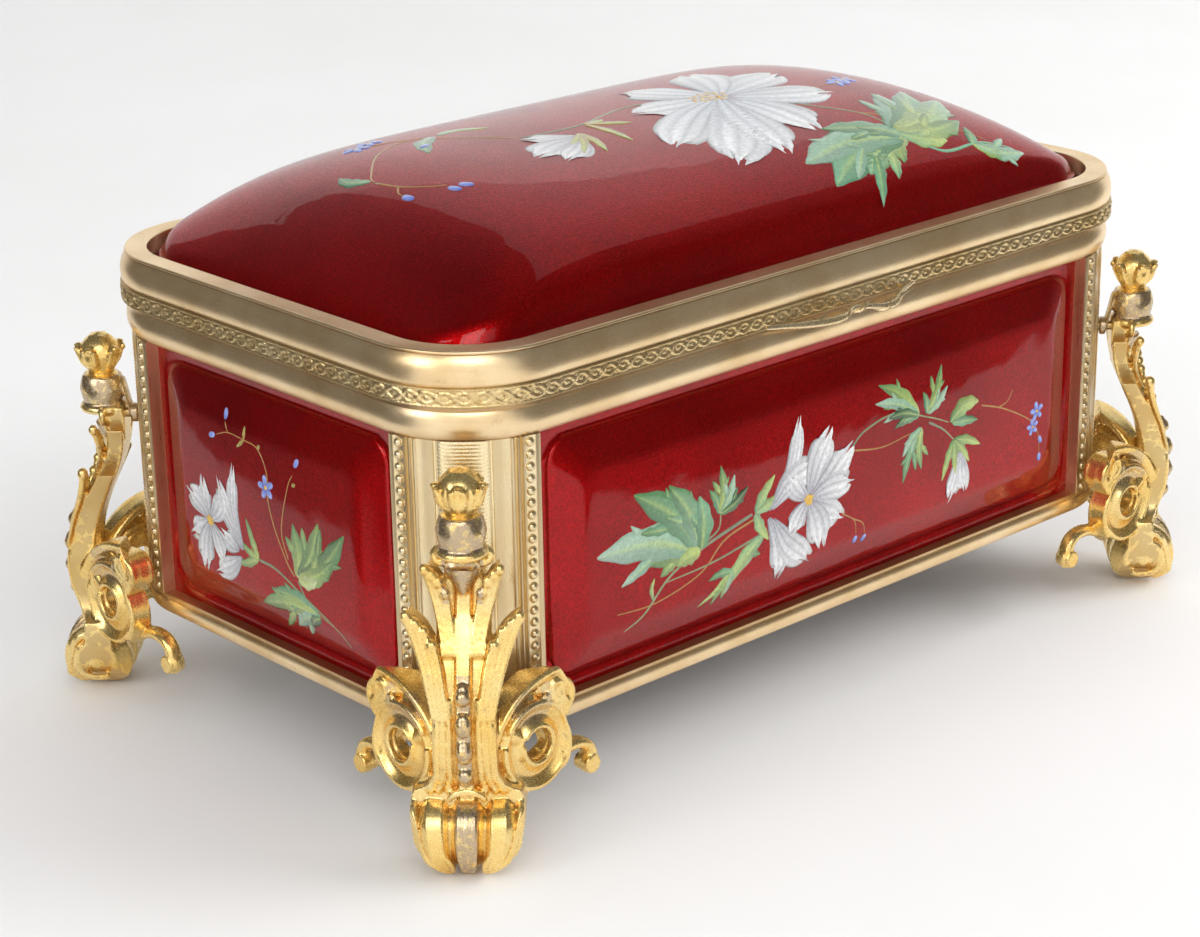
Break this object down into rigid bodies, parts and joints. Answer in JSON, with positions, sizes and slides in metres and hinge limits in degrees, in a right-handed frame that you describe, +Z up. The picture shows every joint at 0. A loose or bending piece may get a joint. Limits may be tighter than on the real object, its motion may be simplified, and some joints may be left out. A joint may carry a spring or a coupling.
{
  "type": "jewelry casket",
  "caption": "Oblong jewelry casket with rounded corners: brass frame, cushioned enamel panels, scrolled acanthus feet, padded lining and a hinged lid with a domed enamel top.",
  "frame": {"origin": "on the ground under the middle of the casket", "axes": "+X to the right seen from the front, +Y to the back where the hinge is, +Z up"},
  "size_m": [0.199, 0.1268, 0.1046],
  "materials": {
    "gilt_frame": "satin gilt with brown wear",
    "gilt_feet": "cast and gilt, worn brown on the high places",
    "red_enamel": "glossy translucent enamel on copper",
    "brass_screws": "satin",
    "hinge_brass": "satin",
    "base_board": "dark stained",
    "liner_wood": "plain",
    "lining_silk": "quilted silk"
  },
  "bodies": {
    "case": {"pilaster_front_right": "gilt_frame", "foot_front_right": "gilt_feet", "pilaster_back_right": "gilt_frame", "foot_back_right": "gilt_feet", "pilaster_back_left": "gilt_frame", "foot_back_left": "gilt_feet", "pilaster_front_left": "gilt_frame", "foot_front_left": "gilt_feet", "enamel_panel_front": "red_enamel", "enamel_panel_back": "red_enamel", "enamel_panel_left": "red_enamel", "enamel_panel_right": "red_enamel", "base_rail": "gilt_frame", "body_top_rail": "gilt_frame", "foot_screws": "brass_screws", "frame_screws": "brass_screws", "base_board": "base_board", "base_board_screws": "brass_screws", "liner_box": "liner_wood", "lining_wall_pad": "lining_silk", "lining_floor_pad": "lining_silk", "hinge_case_leaf": "hinge_brass", "hinge_case_screws": "brass_screws", "hinge_pin": "hinge_brass"},
    "lid": {"lid_enamel_dome": "red_enamel", "lid_engraved_band": "gilt_frame", "lid_rim": "gilt_frame", "lid_retaining_frame": "hinge_brass", "lid_frame_screws": "brass_screws", "lid_lining_board": "liner_wood", "lid_lining_pad": "lining_silk", "thumbpiece": "gilt_frame", "hinge_lid_leaf": "hinge_brass", "hinge_lid_screws": "brass_screws"}
  },
  "joints": [
    {"name": "lid_hinge", "type": "hinge", "parent": "case", "child": "lid", "pos_m": [0, 0.057, 0.0776], "axis": [-1, 0, 0], "range_deg": [0, 100]}
  ]
}
